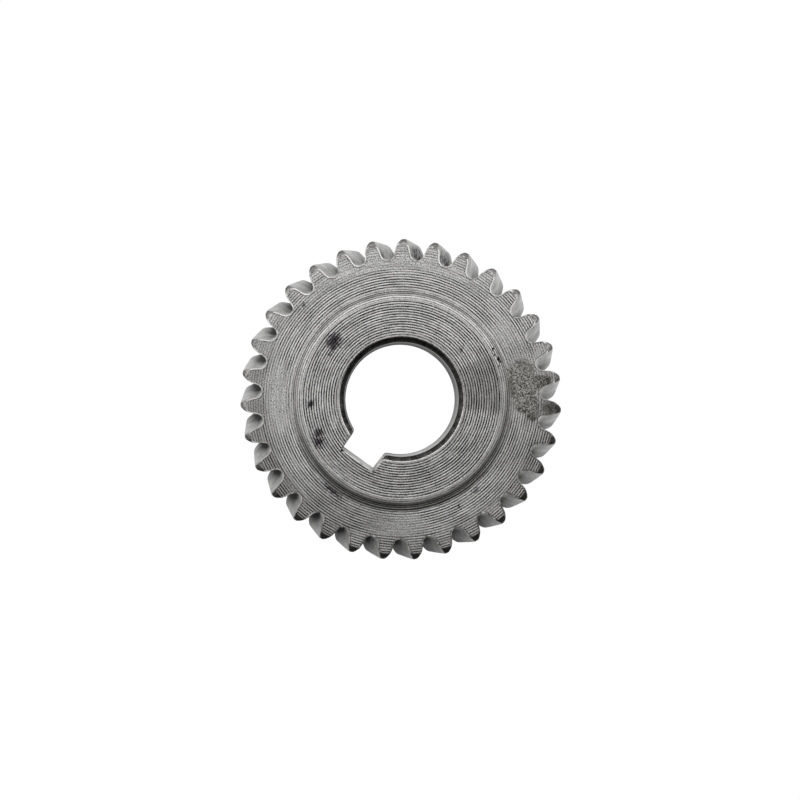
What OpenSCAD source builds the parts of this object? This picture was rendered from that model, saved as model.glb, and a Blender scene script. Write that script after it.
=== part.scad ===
// Helical pinion gear with a keyed bore and a raised hub face on each side.
// Units are millimetres. The origin is the centre of the bore, halfway through the gear,
// +Z runs along the bore to the front hub face, and the keyway opens towards +Y.

/* [Teeth] */
// Number of teeth
teeth = 31; // [28:1:48]
// Normal module, which sets the pitch of the teeth
normal_module = 1.25; // [1.2:0.05:1.5]
// Pressure angle in the normal plane, degrees
pressure_angle = 20; // [18:0.5:25]
// Helix angle, right hand, degrees
helix_angle = 15; // [5:0.5:20]
// Height of a tooth tip above the pitch circle
addendum = 1.09; // [0.9:0.01:1.25]
// Depth of a tooth gap below the pitch circle
dedendum = 1.76; // [1.5:0.01:1.9]
// Metal taken off each flank for backlash
flank_backlash = 0.18; // [0:0.01:0.2]
// Turn of the first tooth gap from the keyway, seen on the front of the rim, degrees
gap_phase = 0.7; // [-5:0.1:5]

/* [Rim] */
// Width of the toothed rim
rim_width = 8.5; // [6:0.1:20]
// Chamfer on the ends of the teeth
tip_chamfer = 0.75; // [0.2:0.05:1]

/* [Hub] */
// Diameter of each raised hub face
hub_face_d = 27; // [24:0.1:28]
// Height of each hub face above the rim
hub_height = 0.9; // [0.3:0.1:4]
// Radial width of the sloping shoulder round each hub face
hub_slope = 0.85; // [0.1:0.05:1.5]

/* [Bore] */
// Bore diameter
bore_d = 15; // [10:0.5:16]
// Chamfer at each mouth of the bore
bore_chamfer = 0.65; // [0.2:0.05:1]
// Width of the keyway
key_width = 5; // [3:0.1:6]
// Depth of the keyway, from the wall of the bore
key_depth = 2.3; // [1.4:0.1:2.8]

/* [Hidden] */
eps = 0.01;
turned_fn = 180;

// Blank
half_rim = rim_width / 2;
half_width = half_rim + hub_height;
hub_face_r = hub_face_d / 2;
hub_foot_r = hub_face_r + hub_slope;
bore_r = bore_d / 2;

// Transverse tooth system: sizes in the plane square to the axis
deg_per_rad = 180 / PI;
pitch_r = teeth * normal_module / cos(helix_angle) / 2;
transverse_angle = atan(tan(pressure_angle) / cos(helix_angle));
base_r = pitch_r * cos(transverse_angle);
tip_r = pitch_r + addendum;
root_r = pitch_r - dedendum;
twist_per_mm = tan(helix_angle) / pitch_r * deg_per_rad;
gap_pitch = 360 / teeth;

// Tooth gap: involute flanks that run into a round bottom
flank_steps = 5;
bottom_steps = 8;
twist_slices = 4;
cutter_margin = 0.6;

function involute(a) = tan(a) * deg_per_rad - a;
function flank_angle(r) = acos(min(1, base_r / r));
gap_at_pitch = gap_pitch / 4 + flank_backlash / pitch_r * deg_per_rad;
// Half angle of a gap at radius r
function half_gap(r) = gap_at_pitch + involute(flank_angle(r)) - involute(transverse_angle);
// Slope of the flank against the centre line of the gap, at radius r
function flank_slope(r) = flank_angle(r) + half_gap(r);
// Radius of the round that meets both flanks at radius r, and the distance of its centre
function round_r(r) = r * sin(half_gap(r)) / cos(flank_slope(r));
function round_centre(r) = r * cos(half_gap(r)) + round_r(r) * sin(flank_slope(r));
// Radius at which the flanks start, so that the round touches the root circle
function flank_start(r, n = 12) =
    n == 0 ? r : flank_start(r + root_r - round_centre(r) + round_r(r), n - 1);
flank_r = flank_start(root_r + normal_module / 2);

// One side of the gap, from the start of the flank outwards
function flank_points(side) =
    [for (i = [0:flank_steps]) let (r = flank_r + (tip_r + cutter_margin - flank_r) * i / flank_steps)
        [r * cos(half_gap(r)), side * r * sin(half_gap(r))]];

// The round at the bottom of the gap, without the two ends that it shares with the flanks
function bottom_points() =
    let (a0 = 90 + flank_slope(flank_r))
    [for (i = [1:bottom_steps - 1]) let (a = a0 + (360 - 2 * a0) * i / bottom_steps)
        [round_centre(flank_r) + round_r(flank_r) * cos(a), round_r(flank_r) * sin(a)]];

function reversed(list) = [for (i = [len(list) - 1:-1:0]) list[i]];

// Turned blank with both hub faces and the chamfered rim
module blank() {
    upper = [
        [tip_r, half_rim - tip_chamfer], [tip_r - tip_chamfer, half_rim],
        [hub_foot_r, half_rim], [hub_face_r, half_width], [0, half_width]
    ];
    lower = [for (p = reversed(upper)) [p.x, -p.y]];
    rotate_extrude($fn = turned_fn)
        polygon(concat(upper, lower));
}

// Bore with a chamfer at each mouth
module bore() {
    mouth_r = bore_r + bore_chamfer + eps;
    upper = [[bore_r, half_width - bore_chamfer], [mouth_r, half_width + eps], [0, half_width + eps]];
    lower = [for (p = reversed(upper)) [p.x, -p.y]];
    rotate_extrude($fn = turned_fn)
        polygon(concat(upper, lower));
}

// Straight keyway through the whole width
module keyway() {
    translate([-key_width / 2, 0, -half_width - eps])
        cube([key_width, bore_r + key_depth, 2 * (half_width + eps)]);
}

// One helical tooth gap, centred on +X at the front of the rim
module tooth_gap() {
    length = rim_width + 2 * cutter_margin;
    translate([0, 0, -length / 2])
        rotate(-twist_per_mm * (length - cutter_margin))
            linear_extrude(height = length, twist = -twist_per_mm * length, slices = twist_slices)
                polygon(concat(reversed(flank_points(1)), bottom_points(), flank_points(-1)));
}

// The whole gear: a turned blank, bored, keyed and then cut with its teeth
module pinion_gear() {
    color([0.62, 0.62, 0.61])
        difference() {
            blank();
            bore();
            keyway();
            for (i = [0:teeth - 1])
                rotate(90 + gap_phase + i * gap_pitch)
                    tooth_gap();
        }
}

pinion_gear();
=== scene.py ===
import math

import bpy
import numpy as np
from mathutils import Matrix


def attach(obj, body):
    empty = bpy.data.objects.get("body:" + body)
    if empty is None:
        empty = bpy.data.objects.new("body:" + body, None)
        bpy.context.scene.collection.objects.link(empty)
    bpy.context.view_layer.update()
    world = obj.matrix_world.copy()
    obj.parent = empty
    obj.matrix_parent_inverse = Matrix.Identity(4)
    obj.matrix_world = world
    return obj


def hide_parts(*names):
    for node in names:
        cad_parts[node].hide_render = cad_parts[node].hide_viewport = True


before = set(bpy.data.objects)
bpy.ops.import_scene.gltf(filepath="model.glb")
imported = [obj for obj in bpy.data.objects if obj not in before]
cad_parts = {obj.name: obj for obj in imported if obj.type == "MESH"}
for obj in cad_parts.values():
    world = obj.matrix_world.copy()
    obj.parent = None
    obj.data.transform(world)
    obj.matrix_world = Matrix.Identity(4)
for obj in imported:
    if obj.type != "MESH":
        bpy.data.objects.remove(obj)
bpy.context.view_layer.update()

# Pinion gear: one piece of medium-carbon steel. The blank is turned from bar, bored and faced with a
# round-nosed tool, the keyway is broached, and the helical teeth are hobbed last, which leaves smooth
# flanks and a thin burr where the hob leaves the turned end faces. All lengths are in millimetres.
TEETH = 31
NORMAL_MODULE, NORMAL_PRESSURE, HELIX = 1.25, math.radians(20), math.radians(15)
ADDENDUM, DEDENDUM, FLANK_BACKLASH = 1.09, 1.76, 0.18
PITCH_R = TEETH * NORMAL_MODULE / math.cos(HELIX) / 2
PRESSURE = math.atan(math.tan(NORMAL_PRESSURE) / math.cos(HELIX))
BASE_R = PITCH_R * math.cos(PRESSURE)
TIP_R = PITCH_R + ADDENDUM
ROOT_R = PITCH_R - DEDENDUM
TWIST = math.tan(HELIX) / PITCH_R
TOOTH_PITCH = 2 * math.pi / TEETH
GAP_AT_PITCH = TOOTH_PITCH / 4 + FLANK_BACKLASH / PITCH_R

# Direction of the first tooth gap on the front of the rim, a little past the keyway.
FIRST_GAP = math.radians(90.7)


def half_gap(r):
    """Half the angle of a tooth gap at radius r: the involute of the flank's pressure angle there, less
    the one at the pitch circle, added to half the gap at the pitch circle."""
    a = np.arccos(np.minimum(1.0, BASE_R / r))
    return GAP_AT_PITCH + np.tan(a) - a - (math.tan(PRESSURE) - PRESSURE)


def bottom_round(r):
    """Centre distance, radius and flank slope of the round that meets both flanks of a gap at radius r."""
    slope = math.acos(min(1.0, BASE_R / r)) + float(half_gap(r))
    radius = r * math.sin(half_gap(r)) / math.cos(slope)
    return r * math.cos(half_gap(r)) + radius * math.sin(slope), radius, slope


# Radius at which the flanks start, found in steps so that the round touches the root circle.
flank_r = ROOT_R + 0.6
for _ in range(12):
    centre, radius, slope = bottom_round(flank_r)
    flank_r += ROOT_R - centre + radius

# Corner of a tooth's tip: height and width of its round, and the flank's lean where the round starts.
TIP_ROUND, TIP_ROUND_WIDTH, TIP_LEAN = 0.40, 0.50, math.radians(25)


def tooth_outline(cap):
    """Radius and angle of the toothed outline, cap being the radius of the tooth tips in that slice.
    Half a pitch runs from the bottom of a gap round its fillet, up the involute flank, over the round
    at the tip's corner, an arc from the flank's lean to level, to the middle of the tip; the other half
    mirrors it."""
    centre, radius, slope = bottom_round(flank_r)
    a = np.linspace(math.pi, math.pi / 2 + slope, 4)
    x, y = centre + radius * np.cos(a), radius * np.sin(a)
    fillet_r, fillet_a = np.hypot(x, y), np.arctan2(y, x)
    flank = np.linspace(flank_r, cap - TIP_ROUND, 3)[1:]
    b = np.linspace(TIP_LEAN, math.pi / 2, 4)[1:]
    corner_r = flank[-1] + TIP_ROUND * (np.sin(b) - math.sin(TIP_LEAN)) / (1 - math.sin(TIP_LEAN))
    corner_a = half_gap(flank[-1]) + TIP_ROUND_WIDTH / cap * (1 - np.cos(b) / math.cos(TIP_LEAN))
    r = np.concatenate([fillet_r, flank, corner_r, [cap]])
    a = np.concatenate([fillet_a, half_gap(flank), corner_a, [TOOTH_PITCH / 2]])
    r = np.concatenate([r, r[-2:0:-1]])
    a = np.concatenate([a, TOOTH_PITCH - a[-2:0:-1]])
    turns = np.arange(TEETH)[:, None] * TOOTH_PITCH
    return np.tile(r, TEETH), (a[None, :] + turns).ravel() + FIRST_GAP


def drawn_in(r, a, inset):
    """The outline moved inwards by inset along its own normals, worked out from its neighbours."""
    p = r * np.exp(1j * a)
    along = np.roll(p, -1) - np.roll(p, 1)
    p = p + inset * 1j * along / np.abs(along)
    return np.abs(p), a + np.angle(p * np.exp(-1j * a))


# Rounded chamfer on the ends of the teeth: how far the tips drop at each depth below the end face.
HALF_RIM = 4.25
CROWN_DEPTH = [0.0, 0.06, 0.25, 0.48, 0.78, 1.1]
CROWN_DROP = [0.76, 0.65, 0.41, 0.19, 0.04, 0.0]


def rim_slice(depth, inset=0.0):
    """Radius, angle and height of the toothed rim at a depth below its front face. The tips follow a
    rounded chamfer near both ends, and the outline turns clockwise with depth by the helix."""
    cap = TIP_R - np.interp(min(depth, 2 * HALF_RIM - depth), CROWN_DEPTH, CROWN_DROP)
    r, a = tooth_outline(cap)
    if inset:
        r, a = drawn_in(r, a, inset)
    return r, a - TWIST * depth, np.full(r.shape, HALF_RIM - depth)


# Bore and keyway, with the width of the bevel along the keyway's edges. EASE is the power that sets how
# sharp the corners between the keyway and the bore are.
BORE_R, BORE_CHAMFER = 7.5, 0.65
KEY_HALF, KEY_FLOOR, KEY_EDGE = 2.5, 9.8, 0.12
EASE = 22
KEY_CORNER = math.atan2(KEY_HALF, KEY_FLOOR)
KEY_MOUTH = math.asin(KEY_HALF / (BORE_R + BORE_CHAMFER / 2))


def keyway_radius(a, grow=0.0):
    """Distance from the axis to the keyway's outline at angle a, or nothing where the angle misses it:
    the floor is a line square to +Y and the sides are lines along it."""
    u = np.abs(a - math.pi / 2)
    floor, half = KEY_FLOOR + grow, KEY_HALF + grow
    with np.errstate(divide="ignore"):
        r = np.minimum(floor / np.maximum(np.cos(u), 1e-9), half / np.maximum(np.sin(u), 1e-9))
    return np.where(u < math.pi / 2, r, 0.0)


def with_keyway(wall, a, grow=0.0):
    """Radius of the bore's outline with the keyway in it: the soft maximum of the two, which is the
    EASE-th root of the sum of their EASE-th powers, so the keyway's mouth has eased edges."""
    return wall * (1 + (keyway_radius(a, grow) / wall) ** EASE) ** (1 / EASE)


def key_columns(a, wall, grow=0.0):
    """Angles of the columns once those at the keyway are shared out between its floor and its sides, so
    that one column runs down each corner. wall is the radius at which the sides end."""
    near = np.argsort(a)
    u = a[near] - math.pi / 2
    corner = math.atan2(KEY_HALF + grow, KEY_FLOOR + grow)
    mouth = math.asin((KEY_HALF + grow) / wall)
    out = u.copy()
    for side in (-1, 1):
        floor_i = np.argmin(np.abs(u - side * KEY_CORNER))
        mouth_i = np.argmin(np.abs(u - side * KEY_MOUTH))
        count = abs(mouth_i - floor_i)
        for k in range(count + 1):
            out[floor_i + side * k] = side * (corner + (mouth - corner) * k / count)
    result = a.copy()
    result[near] = out + math.pi / 2
    return result


# Marks on the front, each as its clock direction with 12 at the top of the picture, its radius, half its
# spread in degrees, half its breadth and its strength. TWELVE is the angle of 12 on that clock.
TWELVE = 305.9

# Places rubbed smooth, which have lost their tool marks.
RUBBED = [
    (355, 18.05, 44, 1.15, 0.95), (355, 19.8, 50, 1.2, 0.7), (60, 16.2, 11, 1.6, 0.6),
    (76, 19.6, 11, 1.6, 0.85), (271, 16.3, 17, 1.7, 1.0), (283, 19.3, 30, 1.6, 0.8),
    (183, 16.6, 15, 1.6, 0.85), (81, 16.5, 17, 2.1, 0.9), (93, 19.8, 4.5, 1.8, 1.0),
    (232, 18.2, 10, 0.9, 0.6), (140, 18.3, 12, 0.8, 0.4), (170, 19.6, 22, 1.5, 0.35),
    (355, 8.45, 180, 0.16, 0.5), (222, 12.6, 14, 0.5, 0.5), (0, 17.6, 400, 3.0, 0.12),
    (60, 19.6, 7, 1.4, 0.5),
]

# Blots of dried cutting oil.
STAINS = [
    (311, 11.65, 5.4, 0.9, 1.0), (307, 11.2, 3.0, 0.4, 0.9), (302, 11.05, 1.5, 0.26, 0.9),
    (243, 12.1, 3.6, 0.75, 1.0), (248, 11.7, 3.6, 0.6, 0.95), (267, 11.85, 2.4, 0.5, 1.0),
    (50.5, 10.1, 1.3, 0.24, 0.8), (217, 15.0, 6, 0.3, 0.9), (314, 17.75, 1.0, 0.28, 0.7),
    (151.5, 16.0, 1.0, 0.35, 0.7), (140.5, 15.4, 1.8, 0.35, 0.6), (68, 13.85, 5, 0.4, 0.35),
    (84, 19.1, 2.4, 0.8, 0.4), (330, 19.3, 1.2, 0.5, 0.5),
]

# Pits and black specks, among them the keyway's two corners, and painted shade on the chamfered tips of the
# lower teeth, which turn away from the light.
PITS_AND_PAINTED_SHADE = [
    (61.4, 13.6, 0.9, 0.18, 1.2), (63.9, 13.43, 0.6, 0.16, 1.1), (67.4, 13.69, 0.9, 0.2, 1.2),
    (68.9, 13.8, 0.6, 0.15, 1.0), (71.1, 13.45, 0.5, 0.13, 1.0), (50.5, 10.1, 0.7, 0.12, 0.8),
    (267, 11.72, 1.7, 0.15, 0.85), (266.2, 11.85, 0.6, 0.42, 0.8), (312, 11.6, 2.4, 0.35, 0.6),
    (243.5, 12.1, 1.6, 0.3, 0.55), (201.9, 10.05, 1.1, 0.32, 1.6), (229.5, 10.05, 1.1, 0.32, 1.6),
    # The wide mark at 183 degrees is painted shade on the chamfered tips of the lower teeth.
    (183, 21.1, 88, 0.44, 0.62), (151.2, 15.95, 0.3, 0.1, 0.9), (140.2, 15.45, 0.7, 0.1, 0.7),
]

# Dark smears on the flanks of some teeth.
SOOT = [
    (5.6, 20.0, 0.9, 0.55, 1.0), (6.5, 19.4, 3.2, 1.3, 0.6), (17.5, 19.4, 3.4, 1.2, 0.65),
    (352.5, 18.9, 1.6, 0.9, 0.4), (340.5, 18.6, 2.0, 0.9, 0.35), (268, 19.2, 2.5, 0.9, 0.3),
    (300, 19.2, 2.5, 0.8, 0.3), (77, 19.4, 2.4, 0.8, 0.4), (61, 19.6, 2.0, 0.8, 0.3),
]

# One patch of thin rust, from the shoulder to the teeth.
RUST = [
    (81.8, 16.1, 10.2, 1.95, 1.0), (83.5, 18.4, 3.6, 1.6, 1.0), (91, 16.4, 5.5, 1.75, 1.0),
    (93.5, 19.7, 2.6, 1.6, 0.5), (97, 17.5, 2.2, 0.9, 0.85),
]

# Places darkened by handling and oil, and painted shade: the top of the bore's chamfer and mouth, the tips
# of the teeth on the right and lower side, and dark lines in the shoulder's corners. A few more marks have
# sharper edges.
SHADE = [
    (80, 14.0, 24, 0.7, 0.4), (93.3, 19.9, 3.8, 1.8, 0.9), (82.5, 19.4, 4.5, 1.8, 0.4),
    (71, 17.6, 8, 2.4, 0.22), (112, 16.5, 20, 2.4, 0.22), (205, 16.8, 26, 4.0, 0.34),
    (97.5, 17.3, 2.6, 1.1, 0.4), (244, 19.0, 48, 1.6, 0.5), (114, 19.0, 22, 1.7, 0.42),
    # The darker tips of the teeth at 116, 165 and 225 degrees are painted shade, where they roll away from
    # the light.
    (150, 18.2, 25, 0.8, 0.25), (168, 19.6, 30, 1.2, 0.3), (116, 20.3, 24, 0.6, 0.65),
    (165, 20.5, 40, 0.5, 0.45), (225, 20.3, 34, 0.6, 0.65), (60, 12.5, 10, 1.0, 0.2),
    (122, 10.6, 18, 2.2, 0.2), (300, 11.5, 16, 1.5, 0.15), (172, 10.2, 20, 1.6, 0.25),
    (150, 11.0, 22, 2.2, 0.12), (205, 10.6, 22, 1.6, 0.3), (240, 11.6, 14, 1.8, 0.25),
    # The two marks at 350 degrees by the bore are painted shade on the top of its chamfer and mouth.
    (350, 7.85, 62, 0.32, 0.75), (350, 8.13, 58, 0.09, 0.95), (0, 8.45, 400, 0.25, 0.28),
    (0, 14.5, 400, 0.1, 0.35), (0, 13.1, 400, 0.1, 0.3), (305, 13.71, 110, 0.1, 0.35),
    (330, 9.95, 90, 0.2, 0.2), (330, 8.95, 90, 0.2, 0.15), (330, 11.95, 90, 0.2, 0.18),
    (310, 17.2, 40, 0.14, 0.2), (94.2, 15.6, 0.8, 0.3, 0.8), (95.6, 16.2, 0.7, 0.35, 0.9),
    (97.2, 16.8, 0.6, 0.35, 0.95), (98.9, 17.5, 0.6, 0.35, 0.95),
]
SHADED_SECTORS = [
    # The dark lines in the shoulder's corners, at 14.46 and 14.1 mm, are painted shade.
    (80.5, 10.1, 18.5, 2.2, 0.52), (80.5, 12.6, 18.5, 0.6, 0.6), (178, 14.46, 80, 0.09, 0.8),
    (345, 14.1, 85, 0.12, 0.5),
]


def soft_marks(x, y, rows, edge=4):
    """The strongest mark at each point: strength times the exponential of minus the distances from its
    middle, in spreads along the circle and in breadths along the radius, raised to the power edge."""
    r, clock = np.hypot(x, y), TWELVE - np.degrees(np.arctan2(y, x))
    value = np.zeros(r.shape)
    for middle, radius, spread, breadth, strength in rows:
        off = (clock - middle + 180) % 360 - 180
        mark = strength * np.exp(-np.abs(off / spread) ** edge - np.abs((r - radius) / breadth) ** edge)
        value = np.maximum(value, mark)
    return value


# Tool marks of facing: the feed a turn, the radius of one crest and the depth of a groove.
FEED, CREST_AT, GROOVE_DEPTH = 0.33, 0.065, 0.014


def tool_marks(r, a, side):
    """Depth of the facing tool's marks at radius r and angle a: a V once a feed, fading where the face
    has been rubbed smooth."""
    depth = GROOVE_DEPTH * (1 - np.abs(((r - CREST_AT) / FEED) % 1.0 - 0.5) * 2)
    if side > 0:
        depth = depth * (1 - soft_marks(r * np.cos(a), r * np.sin(a), RUBBED))
    return depth


def face_rings(inner, outer):
    """Radii half a feed apart from outer to inner, on the crests and valleys of the tool marks."""
    k = np.arange(math.ceil((inner - CREST_AT) / FEED * 2), math.floor((outer - CREST_AT) / FEED * 2) + 1)
    return k[::-1] * FEED / 2 + CREST_AT


# Hub face and the run of its sloping shoulder, as radius and height over the rim. The tool left a low
# bead at the foot and a second one halfway up.
HUB_HEIGHT = 0.9
FOOT_R = 14.54
SHOULDER = [
    (FOOT_R, 0.005), (14.49, 0.045), (14.42, 0.10), (14.37, 0.11), (14.24, 0.12), (14.16, 0.25),
    (14.05, 0.44), (13.99, 0.455), (13.87, 0.65), (13.76, 0.785), (13.65, 0.825), (13.52, 0.858),
    (13.38, 0.88), (13.22, 0.894), (13.05, HUB_HEIGHT),
]

# Burr along the teeth: how far in from the outline its lip begins, peaks and ends and the plain face
# starts, and the height of its peak. It is ragged, and higher on the side where the hob leaves the metal.
# EDGE_BURR is the breadth of the burr at the mouth of the bore's chamfer. Columns run through the points
# of the toothed outline, where a tooth's flank ends and its tip starts at TIP_POINT.
LIP_OUT, LIP_IN, LIP_FOOT, LIP_END = 0.01, 0.15, 0.19, 0.3
LIP_HEIGHT, EDGE_BURR = 0.05, 0.05
TIP_POINT = 7
columns = rim_slice(0.0, LIP_END)[1]
columns[columns > math.pi * 1.5] -= 2 * math.pi
around_tooth = len(columns) // TEETH
point_of_pitch = np.arange(len(columns)) % around_tooth
clockwise_edge = (point_of_pitch >= 1) & (point_of_pitch < TIP_POINT)
on_tip = (point_of_pitch >= TIP_POINT) & (point_of_pitch < around_tooth - TIP_POINT)
noise = np.random.default_rng(31)
ragged = np.convolve(noise.random(len(columns) + 2), [0.25, 0.5, 0.25], "valid")
lip = LIP_HEIGHT * np.where(clockwise_edge, 0.2 + ragged, 0.3 * ragged)

# Finishes, numbered in the order of the mesh's materials.
TURNED, HOBBED, BORED, FINE_TURNED, CHAMFERED, BURRED, TIPPED = range(7)


def refinished(ring, finish):
    """The same ring with another finish on the faces between it and the next one."""
    return (*ring[:3], finish)


def end_face(side):
    """Rings of one end of the gear, from the edges of the teeth to the wall of the bore, as radius, angle,
    height and finish. Inside the burr each ring is a circle, held within the toothed outline and outside
    the keyway. On the back the columns unwind the helix between the teeth and the hub."""
    depth = 0.0 if side > 0 else 2 * HALF_RIM
    face = HALF_RIM + HUB_HEIGHT
    level = np.ones(columns.shape)
    rings = []
    for inset, raised, finish in (
        (LIP_OUT, 0.6 * lip, BURRED), (LIP_IN, lip, BURRED), (LIP_FOOT, -0.2 * lip, TURNED),
    ):
        r, a, _ = rim_slice(depth, inset)
        rings.append((r, a, HALF_RIM - tool_marks(r, a, side) + raised, finish))
    r0, a0, _ = rim_slice(depth, LIP_END)
    unwound = ((a0 - columns + math.pi) % (2 * math.pi)) - math.pi
    rings.append((r0, columns + unwound, HALF_RIM - tool_marks(r0, columns, side), TURNED))
    for r in face_rings(FOOT_R + 0.04, TIP_R - CROWN_DROP[0] - LIP_END):
        keep = np.clip((r - FOOT_R) / (ROOT_R - 0.5 - FOOT_R), 0, 1)
        radius = np.minimum(r, r0)
        z = HALF_RIM - tool_marks(radius, columns, side)
        rings.append((radius, columns + unwound * keep, z, TURNED))
    rings[-1] = refinished(rings[-1], FINE_TURNED)
    rings += [(r * level, columns, (HALF_RIM + up) * level, FINE_TURNED) for r, up in SHOULDER]
    rings[-1] = refinished(rings[-1], TURNED)
    mouth = BORE_R + BORE_CHAMFER + EDGE_BURR
    a = key_columns(columns, mouth, KEY_EDGE)
    for r in face_rings(mouth, SHOULDER[-1][0] - 0.1):
        radius = np.maximum(r, with_keyway(mouth, a, KEY_EDGE))
        rings.append((radius, a, face - tool_marks(radius, a, side), TURNED))
    for wall, down, grow, finish in (
        (mouth, 0.0, KEY_EDGE, BURRED),
        (BORE_R + BORE_CHAMFER - 0.07, EDGE_BURR, 0.0, CHAMFERED),
        (BORE_R + 0.03, BORE_CHAMFER - 0.03, 0.0, CHAMFERED),
        (BORE_R, BORE_CHAMFER + 0.04, 0.0, BORED),
    ):
        a = key_columns(columns, wall, grow)
        rings.append((with_keyway(wall, a, grow), a, (face - down) * level, finish))
    return [(r, a, side * z, finish) for r, a, z, finish in rings]


# A slice of the teeth between the end of their chamfer and the middle of the rim.
QUARTER_DEPTH = 2.9


def gear_rings():
    """The closed run of rings: down the teeth, in over the back face, up the bore, out over the front.
    A ring's finish is that of the faces between it and the next one."""
    depths = [*CROWN_DEPTH[1:], QUARTER_DEPTH, HALF_RIM]
    depths += [2 * HALF_RIM - d for d in depths[-2::-1]]
    teeth = [(*rim_slice(depth), HOBBED) for depth in depths]
    teeth[-1] = refinished(teeth[-1], BURRED)
    front = end_face(1)[::-1]
    finishes = [ring[3] for ring in front[1:]] + [BURRED]
    front = [refinished(ring, finish) for ring, finish in zip(front, finishes)]
    return teeth + end_face(-1) + front


def woven(rings):
    """Vertices, faces and their rings and columns, for a run of rings that closes on itself both ways.
    Corners that fall together are made one."""
    at = np.array([[r * np.cos(a), r * np.sin(a), z] for r, a, z, _ in rings]).transpose(0, 2, 1)
    count, around = at.shape[:2]
    flat = at.reshape(-1, 3)
    _, first, same = np.unique(np.round(flat, 5), axis=0, return_index=True, return_inverse=True)
    same = same.ravel()
    i, j = np.divmod(np.arange(count * around), around)
    below, beside = (i + 1) % count * around, (j + 1) % around
    quads = np.stack([same, same[below + j], same[below + beside], same[i * around + beside]], -1)
    return flat[first], quads, i, j, first // around, first % around


rings = gear_rings()
points, quads, ring_of, column_of, point_ring, point_column = woven(rings)
different = quads != np.roll(quads, -1, axis=1)
four = different.all(1)
three = different.sum(1) == 3
triangles = quads[three][different[three]].reshape(-1, 3)
order = np.concatenate([np.flatnonzero(four), np.flatnonzero(three)])
finish = np.array([ring[3] for ring in rings])[ring_of[order]]
finish[(finish == HOBBED) & on_tip[column_of[order]]] = TIPPED
at_keyway = np.abs((columns - math.pi / 2)[column_of[order]]) < KEY_MOUTH + 0.01
finish[(finish == CHAMFERED) & at_keyway] = BURRED

mesh = bpy.data.meshes.new("pinion_gear_steel")
corners = np.concatenate([quads[four].ravel(), triangles.ravel()])
sizes = np.concatenate([np.full(four.sum(), 4), np.full(len(triangles), 3)])
mesh.vertices.add(len(points))
mesh.vertices.foreach_set("co", (points * 0.001).astype(np.float32).ravel())
mesh.loops.add(len(corners))
mesh.loops.foreach_set("vertex_index", corners.astype(np.int32))
mesh.polygons.add(len(sizes))
mesh.polygons.foreach_set("loop_start", np.concatenate([[0], np.cumsum(sizes)[:-1]]).astype(np.int32))
mesh.polygons.foreach_set("loop_total", sizes.astype(np.int32))
mesh.polygons.foreach_set("material_index", finish.astype(np.int32))
mesh.update(calc_edges=True)
mesh.set_sharp_from_angle(angle=math.radians(35))
mesh.polygons.foreach_set("use_smooth", finish != TURNED)

# What the finishes read at each point. HUB_SIDE is the radius that parts the hub's marks from the teeth's.
# The film is painted shade: darker in the bottoms of the gaps, deeper down in them and in the bore, and
# most in the clock directions LEE and LOW, away from the light. Towards LOW the burr is dimmed by painted
# shade too. The keyway's walls are left without it.
HUB_SIDE = 12
LEE, LOW = 252, 168
x, y, z = points.T
r = np.hypot(x, y)
below = HALF_RIM - z
on_front = below < 1.2


def towards(clock):
    """Cosine of the angle between each point's direction from the axis and a clock direction."""
    return np.cos(np.radians(TWELVE - clock) - np.arctan2(y, x))


# Painted shade: a band at the bottoms of the gaps, darker with depth, and more towards LEE and LOW.
lee_shade = np.clip(1.1 * towards(LEE), 0, 1) * np.clip((below - 1.0) / 4, 0, 1) * np.clip((20.7 - r) / 1.8, 0, 1)
low = np.clip(towards(LOW), 0, 1) * (r > HUB_SIDE)
film = 0.24 * np.exp(-((r - 19.35) / 0.8) ** 2) + 0.24 * np.clip((below - 3.5) / 3, 0, 1) + 0.9 * lee_shade
film = film + 0.5 * low * np.clip((19.5 - r) / 0.6, 0, 1) * np.clip((below - 1.0) / 3, 0, 1)
keyway_without_film = (r > BORE_R + 0.4) & (r < HUB_SIDE)
# The burr is bright along its lip, partly a painted highlight, most on the clockwise edges where it stands
# highest.
burr = np.where(clockwise_edge, 0.85 + 0.4 * ragged, 0.25 + 0.8 * ragged)
burr = np.where(on_tip, 0.1, burr)[point_column]
# At the bore's mouth the burr ring is bright all round, partly a painted highlight on its edge.
hub_burr = np.where(np.abs(z) > HALF_RIM + HUB_HEIGHT - 0.1, 0.7, 0.1)
in_gutter = [k for k, ring in enumerate(rings) if {ring[3], rings[k - 1][3]} == {TURNED, BURRED}]
marks = {
    "rubbed": soft_marks(x, y, RUBBED) * on_front,
    "stain": soft_marks(x, y, STAINS, 2) * on_front,
    "rust": soft_marks(x, y, RUST) * on_front,
    "pit_and_shade": soft_marks(x, y, PITS_AND_PAINTED_SHADE, 2) * on_front,
    "shade": np.maximum(soft_marks(x, y, SHADE, 3), soft_marks(x, y, SHADED_SECTORS, 12)) * on_front,
    # Towards LOW the burr's brightness gives way to painted shade.
    "burr": np.where(r < HUB_SIDE, hub_burr, burr - 0.75 * low),
    "gutter": np.isin(point_ring, in_gutter) * burr * (r > HUB_SIDE),
    "film": film * ~keyway_without_film,
    "soot": soft_marks(x, y, SOOT, 2) * (z > -2),
}
for name, value in marks.items():
    mesh.attributes.new(name, "FLOAT", "POINT").data.foreach_set("value", value.astype(np.float32))

gear = bpy.data.objects.new("pinion_gear_steel", mesh)
bpy.context.scene.collection.objects.link(gear)


def linear(text):
    """The linear colour of an sRGB hex value."""
    c = [int(text[k:k + 2], 16) / 255 for k in (1, 3, 5)]
    return (*[v / 12.92 if v <= 0.04045 else ((v + 0.055) / 1.055) ** 2.4 for v in c], 1.0)


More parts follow.
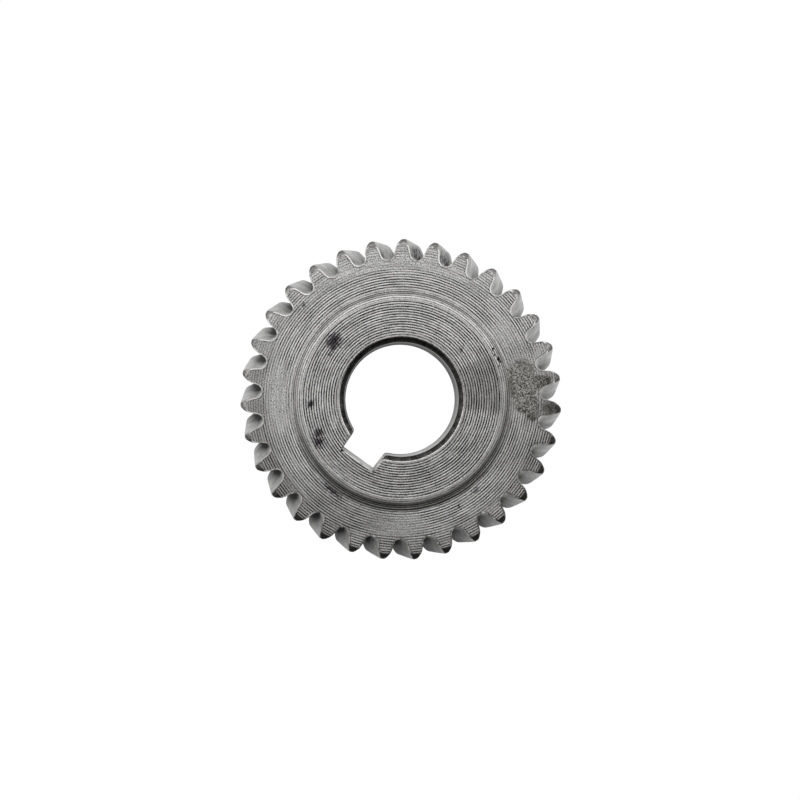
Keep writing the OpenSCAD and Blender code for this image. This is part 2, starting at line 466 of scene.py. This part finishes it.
def add(tree, kind, given=(), out=0, **settings):
    """Adds a node with its settings, gives its inputs, in order or by key, their sockets or values, and
    returns one of its outputs."""
    made = tree.nodes.new("ShaderNode" + kind)
    for name, value in settings.items():
        setattr(made, name, value)
    for key, value in given.items() if isinstance(given, dict) else enumerate(given):
        if isinstance(value, bpy.types.NodeSocket):
            tree.links.new(value, made.inputs[key])
        else:
            made.inputs[key].default_value = value
    return made.outputs[out]


def steel(name):
    """A bare steel with its finish's name: its tree, its shader and its Object coordinates."""
    material = bpy.data.materials.new(name)
    material.use_nodes = True
    tree = material.node_tree
    shader = tree.nodes["Principled BSDF"]
    shader.inputs["Metallic"].default_value = 1.0
    mesh.materials.append(material)
    return tree, shader, add(tree, "TexCoord", out="Object")


def spots(tree, at, size, low, high, detail=2.0, rough=0.5):
    """Noise with spots of a size in millimetres, stretched so that low gives 0 and high gives 1."""
    given = {"Vector": at, "Scale": 1000 / size, "Detail": detail, "Roughness": rough}
    return add(tree, "MapRange", [add(tree, "TexNoise", given), low, high])


def layered(tree, colour, layers):
    """A colour with layers over it, each as its share of the surface, its colour and how it is mixed in.
    Inputs 6 and 7 and output 2 of the node are its colour sockets."""
    for share, over, blend in layers:
        colour = add(tree, "Mix", {0: share, 6: colour, 7: over}, 2, data_type="RGBA", blend_type=blend)
    return colour


def tool_rings(tree, at, feed, lean):
    """Dirt in the tool marks of a turned profile, and a gleam that varies along the cut. The dirt is a
    cosine of the distance along the profile, one wave a feed, times streaks that run with the cut. The
    distance is the radius less lean times the height. The streaks are noise on the direction from the
    axis and that distance, about six times finer across the cut than along it."""
    place = add(tree, "SeparateXYZ", [at]).node.outputs
    flat = add(tree, "CombineXYZ", [place[0], place[1]])
    radius = add(tree, "VectorMath", [flat], "Value", operation="LENGTH")
    height = add(tree, "Math", [place[2]], operation="ABSOLUTE")
    along = add(tree, "Math", [height, -lean, radius], operation="MULTIPLY_ADD")
    clock = add(tree, "VectorMath", [flat], operation="NORMALIZE")
    clock = add(tree, "VectorMath", {0: clock, "Scale": 7.0}, operation="SCALE")
    across = add(tree, "CombineXYZ", {2: add(tree, "Math", [along, 4200.0], operation="MULTIPLY")})
    swept = add(tree, "VectorMath", [clock, across], operation="ADD")
    streak = add(tree, "TexNoise", {"Vector": swept, "Scale": 1.0, "Detail": 3.0, "Roughness": 0.6})
    streak = add(tree, "MapRange", [streak, 0.3, 0.68])
    wander = add(tree, "TexNoise", {"Vector": at, "Scale": 1400.0, "Detail": 1.0})
    wander = add(tree, "Math", [wander, 1.2], operation="MULTIPLY")
    phase = add(tree, "Math", [along, 2 * math.pi / (feed * 0.001), wander], operation="MULTIPLY_ADD")
    phase = add(tree, "Math", [phase, 0.6 + 2 * math.pi * CREST_AT / feed], operation="SUBTRACT")
    wave = add(tree, "Math", [phase], operation="COSINE")
    wave = add(tree, "Math", [wave, -0.5, 0.5], operation="MULTIPLY_ADD")
    wave = add(tree, "MapRange", [wave, 0.2, 0.78])
    streak = add(tree, "Math", [streak, 0.7, 0.58], operation="MULTIPLY_ADD")
    gleam = add(tree, "TexNoise", {"Vector": swept, "Scale": 0.6, "Detail": 2.0})
    gleam = add(tree, "MapRange", [gleam, 0.35, 0.65, 0.74, 1.0])
    return add(tree, "Math", [wave, streak], operation="MULTIPLY"), gleam


def turned_steel(name, feed, lean, crest, valley, contrast, roughness):
    """Steel left by a turning tool: a bright crest and a dirt-filled valley once a feed. The marks fade
    where it is rubbed, with fine grains and wide clouds over all. The rust is a thin film that grows in
    worm-like grains, stains darken what is under them, and the shade marks darken more, some of them
    painted shade. Pits go nearly black, and so does the painted shade on the lower teeth's chamfered
    tips. A dark line runs along the foot of the burr."""
    tree, shader, at = steel(name)
    rubbed, rust, shade, stain, gutter, pit_and_shade = [
        add(tree, "Attribute", out="Fac", attribute_name=mark)
        for mark in ("rubbed", "rust", "shade", "stain", "gutter", "pit_and_shade")
    ]
    # The torn grain of the cut is some 0.05 mm across, and drawn at 0.17 mm so that it shows.
    grain = spots(tree, at, 0.17, 0.3, 0.7)
    cloud = spots(tree, at, 3.2, 0.3, 0.7, detail=4.0, rough=0.6)
    dirt, gleam = tool_rings(tree, at, feed, lean)
    worn = add(tree, "Math", [rubbed, 0.85], operation="MULTIPLY")
    kept = add(tree, "Math", [1.0, worn], operation="SUBTRACT")
    dirt = add(tree, "Math", [dirt, kept], operation="MULTIPLY")
    dirt = add(tree, "Math", [dirt, contrast], operation="MULTIPLY")
    dull = add(tree, "Math", [rubbed, 0.28 * contrast], operation="MULTIPLY")
    dirt = add(tree, "Math", [dirt, dull], operation="ADD")
    speck = add(tree, "Math", [grain, 0.5], operation="SUBTRACT")
    more = add(tree, "Math", [rubbed, 0.3, 0.5], operation="MULTIPLY_ADD")
    speck = add(tree, "Math", [speck, more], operation="MULTIPLY")
    dirt = add(tree, "Math", [dirt, speck], operation="ADD")
    cloud = add(tree, "Math", [cloud, -0.14, 0.07], operation="MULTIPLY_ADD")
    dirt = add(tree, "Math", [dirt, cloud], operation="ADD", use_clamp=True)

    # Rust grains are about 0.1 mm across, and drawn at 0.16 mm so that they show.
    worm = spots(tree, at, 0.16, 0.35, 0.65, detail=1.5)
    patch = add(tree, "Math", [rust, 0.3], operation="SUBTRACT")
    patch = add(tree, "Math", [spots(tree, at, 0.7, 0.2, 0.8), 0.6, patch], operation="MULTIPLY_ADD")
    patch = add(tree, "MapRange", [patch, 0.3, 0.65])
    blot = add(tree, "Math", [stain, 0.45], operation="SUBTRACT")
    blot = add(tree, "Math", [spots(tree, at, 0.28, 0.2, 0.8), 0.9, blot], operation="MULTIPLY_ADD")
    blot = add(tree, "MapRange", [blot, 0.15, 0.7])
    edge = add(tree, "Math", [grain, 0.8, 0.5], operation="MULTIPLY_ADD")
    edge = add(tree, "Math", [edge, gutter], operation="MULTIPLY", use_clamp=True)
    # Pits go nearly black, and so does the painted shade on the lower teeth's chamfered tips.
    hole_and_shade = add(tree, "Math", [pit_and_shade, 0.4], operation="SUBTRACT")
    hole_and_shade = add(tree, "Math", [grain, 0.8, hole_and_shade], operation="MULTIPLY_ADD")
    hole_and_shade = add(tree, "MapRange", [hole_and_shade, 0.35, 0.6])
    bright = add(tree, "VectorMath", {0: linear(crest)[:3], "Scale": gleam}, operation="SCALE")
    rusty = layered(tree, linear("#4B4844"), [(worm, linear("#D4D1CC"), "MIX")])
    colour = layered(tree, bright, [
        (dirt, linear(valley), "MIX"),
        (patch, rusty, "MIX"),
        (shade, linear("#7E7B77"), "MULTIPLY"),
        (blot, linear("#716D73"), "MULTIPLY"),
        (edge, linear("#383634"), "MIX"),
        (hole_and_shade, linear("#1D1B1C"), "MIX"),
    ])
    tree.links.new(colour, shader.inputs["Base Color"])

    matt = add(tree, "Math", [grain, 0.1, roughness - 0.05], operation="MULTIPLY_ADD")
    matt = add(tree, "Math", [dirt, 0.15, matt], operation="MULTIPLY_ADD")
    film = add(tree, "Math", [patch, 0.2], operation="MULTIPLY")
    tree.links.new(add(tree, "Math", [matt, film], operation="ADD"), shader.inputs["Roughness"])
    fine = add(tree, "Bump", {"Height": grain, "Strength": 1.0, "Distance": 0.000004})
    grown = add(tree, "Math", [worm, patch], operation="MULTIPLY")
    pitted = add(tree, "Bump", {"Height": grown, "Normal": fine, "Strength": 1.0, "Distance": 0.000012})
    tree.links.new(pitted, shader.inputs["Normal"])


# Faces: the feed shows as rings, crest to crest 0.33 mm, with dirt held in the valleys.
turned_steel("face_turned_carbon_steel", FEED, 0.0, "#FBFAF9", "#201F1E", 0.95, 0.38)


def smooth_steel(name, colour, dark, lines, roughness):
    """Steel cut smooth, with fine lines across its height, lines millimetres apart, and clouds of oily film
    that add to the soot and film of its marks; the film is painted shade, darker deep in the gaps and the
    bore."""
    tree, shader, at = steel(name)
    film, soot = [add(tree, "Attribute", out="Fac", attribute_name=mark) for mark in ("film", "soot")]
    cloud = spots(tree, at, 1.6, 0.3, 0.72, detail=4.0, rough=0.6)
    # The grain is drawn at 0.14 mm, coarser than the real one, so that it shows.
    grain = spots(tree, at, 0.14, 0.3, 0.7)
    mottle = spots(tree, at, 0.55, 0.35, 0.65, detail=3.0)
    height = add(tree, "SeparateXYZ", [at], 2)
    line = add(tree, "Math", [height, 2 * math.pi / (lines * 0.001)], operation="MULTIPLY")
    line = add(tree, "Math", [line], operation="COSINE")
    line = add(tree, "Math", [line, 0.03, -0.04], operation="MULTIPLY_ADD")
    # The oil clouds, lines and grain, with the soot and the painted shade of the film added in.
    oil_and_shade = add(tree, "Math", [cloud, 0.32, line], operation="MULTIPLY_ADD")
    oil_and_shade = add(tree, "Math", [grain, 0.15, oil_and_shade], operation="MULTIPLY_ADD")
    oil_and_shade = add(tree, "Math", [oil_and_shade, film], operation="ADD")
    smear = add(tree, "Math", [mottle, 1.3, 0.15], operation="MULTIPLY_ADD")
    smear = add(tree, "Math", [soot, smear], operation="MULTIPLY")
    oil_and_shade = add(tree, "Math", [oil_and_shade, smear], operation="ADD", use_clamp=True)
    tree.links.new(layered(tree, linear(colour), [(oil_and_shade, linear(dark), "MIX")]), shader.inputs["Base Color"])
    matt = add(tree, "Math", [oil_and_shade, 0.2, roughness], operation="MULTIPLY_ADD")
    tree.links.new(matt, shader.inputs["Roughness"])
    fine = add(tree, "Bump", {"Height": grain, "Strength": 1.0, "Distance": 0.000003})
    tree.links.new(fine, shader.inputs["Normal"])


# Flanks: smooth and even from the hob. Bore and keyway: smooth from the boring bar and the broach.
# Their dark colours take the oil clouds and the film's painted shade.
smooth_steel("hobbed_carbon_steel", "#F7F6F5", "#2E2D2C", 0.9, 0.34)
smooth_steel("bored_carbon_steel", "#FBFAF9", "#3E3D3C", 0.35, 0.3)

# Shoulder: turned with a finer feed and cleaner, so it is lighter and its rings are closer and fainter.
turned_steel("fine_turned_carbon_steel", 0.3, 0.15, "#FBFAF8", "#4A4846", 0.75, 0.36)

# Bore chamfer: plunged at 45 degrees in one cut, so it has hardly any rings, and is black with old oil.
turned_steel("oil_black_chamfer_steel", 0.2, 1.0, "#9C9A99", "#2C2B2A", 0.8, 0.4)


def burr_steel(name):
    """The hob's burr: bright where it is thrown up along the teeth's edges, partly a painted highlight, and
    plain elsewhere. Painted shade dims it towards the bottom, and shade marks and pits darken it.
    """
    tree, shader, at = steel(name)
    burr, shade, pit_and_shade = [
        add(tree, "Attribute", out="Fac", attribute_name=mark) for mark in ("burr", "shade", "pit_and_shade")
    ]
    grain = spots(tree, at, 0.4, 0.32, 0.66, detail=3.0)
    # The bright burr is partly a painted highlight along the lip.
    bright = add(tree, "Math", [grain, 1.0, -0.42], operation="MULTIPLY_ADD")
    bright = add(tree, "Math", [burr, bright], operation="ADD", use_clamp=True)
    # Pits, and the painted shade on the lower teeth's chamfered tips, go nearly black.
    hole_and_shade = add(tree, "Math", [pit_and_shade, 1.2], operation="MULTIPLY", use_clamp=True)
    colour = layered(tree, linear("#7C7A78"), [
        (bright, linear("#FFFEFD"), "MIX"),
        (shade, linear("#7E7B77"), "MULTIPLY"),
        (hole_and_shade, linear("#1D1B1C"), "MIX"),
    ])
    tree.links.new(colour, shader.inputs["Base Color"])
    matt = add(tree, "Math", [grain, 0.15, 0.3], operation="MULTIPLY_ADD")
    tree.links.new(matt, shader.inputs["Roughness"])
    fine = add(tree, "Bump", {"Height": grain, "Strength": 1.0, "Distance": 0.00001})
    tree.links.new(fine, shader.inputs["Normal"])


burr_steel("burr_carbon_steel")

# Tips of the teeth: fine rings from turning the blank, one above the other and 0.2 mm apart.
turned_steel("tip_turned_carbon_steel", 0.6, 3.0, "#E8E7E5", "#5E5B58", 0.85, 0.36)

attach(gear, "root")
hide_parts("pinion_gear")

# Floor: a plain white table top under the gear. The gear and the room see a white card in its place,
# which lights the flanks and the bore from below, with a painted soft shadow of the gear in its glow.
LAMP_HEIGHTS, LAMP_TURNS = np.radians([48, 56, 64]), np.radians([-30, 0, 30])
LAMP_STEPS, LAMP_CLEARANCE = 16, 0.9
CARD_Z, CARD_R, CARD_RINGS, CARD_SPOKES = -5.4, 34, 44, 96
TABLE_GLOW, CARD_GLOW, CARD_LAMP = 1.02, 0.13, 0.56
up = np.array([math.cos(math.radians(TWELVE)), math.sin(math.radians(TWELVE)), 0.0])
right = np.array([up[1], -up[0], 0.0])


def lamp_share(p):
    """Share of a soft lamp beyond the top of the picture that reaches each point p of the card, as x +
    yi: the share of its directions whose path over the gear's thickness misses the ring of metal. There is
    no such lamp: this share is painted into the card's glow as its light and the gear's soft shadow."""
    share = 0.0
    for turn in LAMP_TURNS:
        for height in LAMP_HEIGHTS:
            reach = 2 * (HALF_RIM + HUB_HEIGHT) / math.tan(height) * np.exp(1j * turn) * (up[0] + 1j * up[1])
            path = p[:, None] + np.linspace(0, 1, LAMP_STEPS)[None, :] * reach
            in_keyway = (np.abs(path.real) < KEY_HALF) & (path.imag > 0) & (path.imag < KEY_FLOOR)
            out = np.abs(path)
            share = share + ~((out > BORE_R) & (out < TIP_R - LAMP_CLEARANCE) & ~in_keyway).any(1)
    return share / (len(LAMP_TURNS) * len(LAMP_HEIGHTS))


ring, turn = np.meshgrid(
    np.linspace(0.5, CARD_R, CARD_RINGS), np.linspace(0, 2 * math.pi, CARD_SPOKES + 1)[:-1], indexing="ij")
spot = (ring * np.exp(1j * turn)).ravel()
i, j = np.divmod(np.arange((CARD_RINGS - 1) * CARD_SPOKES), CARD_SPOKES)
inner, beside = i * CARD_SPOKES, (j + 1) % CARD_SPOKES
outer = inner + CARD_SPOKES
cells = np.stack([inner + j, outer + j, outer + beside, inner + beside], -1)
places = np.stack([spot.real, spot.imag, np.full(spot.shape, CARD_Z)], -1) * 0.001
card = bpy.data.meshes.new("white_card")
card.from_pydata(places.tolist(), [], cells.tolist())
card.attributes.new("lamp", "FLOAT", "POINT").data.foreach_set("value", lamp_share(spot).astype(np.float32))
table = bpy.data.meshes.new("table_top")
table_z = -(HALF_RIM + HUB_HEIGHT) * 0.001
table_corners = [(-1, -1, table_z), (1, -1, table_z), (1, 1, table_z), (-1, 1, table_z)]
table.from_pydata(table_corners, [], [(0, 1, 2, 3)])
for name, data, dim, lit in (
    ("white_table", table, TABLE_GLOW, 0.0), ("white_card", card, CARD_GLOW, CARD_LAMP),
):
    thing = bpy.data.objects.new(name, data)
    bpy.context.scene.collection.objects.link(thing)
    white = bpy.data.materials.new(name)
    white.use_nodes = True
    tree = white.node_tree
    glow = add(tree, "Attribute", out="Fac", attribute_name="lamp")
    glow = add(tree, "Math", [glow, lit, dim], operation="MULTIPLY_ADD")
    tree.links.new(add(tree, "Emission", {"Strength": glow}), tree.nodes["Material Output"].inputs["Surface"])
    data.materials.append(white)
    thing.visible_camera = name == "white_table"
    thing.visible_glossy = thing.visible_diffuse = name == "white_card"
    thing.visible_shadow = False

# Camera: almost straight above the gear, a little to the left of its axis in the picture, turned so that
# the keyway points to the lower left. eye and aim are in millimetres from the middle of the gear.
eye = -3.8 * right - 0.17 * up + np.array([0, 0, 179.1])
aim = -0.19 * right - 0.08 * up + np.array([0, 0, 4.5])
back = (eye - aim) / np.linalg.norm(eye - aim)
side = np.cross(up, back)
side /= np.linalg.norm(side)
over = np.cross(back, side)
lens = bpy.data.cameras.new("overhead_camera")
lens.lens = 60.1
lens.clip_start = 0.001
camera = bpy.data.objects.new("overhead_camera", lens)
bpy.context.scene.collection.objects.link(camera)
camera.matrix_world = Matrix([[side[k], over[k], back[k], eye[k] * 0.001] for k in range(3)] + [[0, 0, 0, 1]])
bpy.context.scene.camera = camera

# Light: a soft room, bright beyond the top of the picture and dark towards its bottom. SKY lists the
# brightness for directions from the bottom, at -1, over straight up, at 0, to the top, at 1. It fades
# below the horizon. SKY_LEAN turns it a little to the left.
SKY = [
    (-1, 0.04), (-0.5, 0.07), (-0.2, 0.24), (-0.08, 0.46), (0, 0.70),
    (0.1, 0.98), (0.3, 1.15), (0.6, 1.0), (1, 0.7),
]
SKY_STRENGTH, SKY_LEAN = 1.2, math.radians(7)
bright_side = math.cos(SKY_LEAN) * up - math.sin(SKY_LEAN) * right
room = bpy.data.worlds.new("soft_room")
bpy.context.scene.world = room
room.use_nodes = True
tree = room.node_tree
seen = add(tree, "TexCoord", out="Generated")
slope = add(tree, "VectorMath", [seen, tuple(bright_side)], "Value", operation="DOT_PRODUCT")
ramp = add(tree, "ValToRGB", [add(tree, "Math", [slope, 0.5, 0.5], operation="MULTIPLY_ADD")])
bands = ramp.node.color_ramp.elements
while len(bands) < len(SKY):
    bands.new(0.5)
for band, (t, value) in zip(bands, SKY):
    band.position = (t + 1) / 2
    band.color = (value / SKY_STRENGTH,) * 3 + (1,)
above = add(tree, "MapRange", [add(tree, "SeparateXYZ", [seen], 2), -0.2, 0.25, 0.15, 1.0])
lit = add(tree, "VectorMath", {0: ramp, "Scale": above}, operation="SCALE")
to_camera = add(tree, "LightPath", out="Is Camera Ray")
sky = layered(tree, lit, [(to_camera, (0.85, 0.85, 0.85, 1.0), "MIX")])
tree.links.new(sky, tree.nodes["Background"].inputs["Color"])
tree.nodes["Background"].inputs["Strength"].default_value = SKY_STRENGTH
bpy.context.scene.view_settings.view_transform = "Standard"
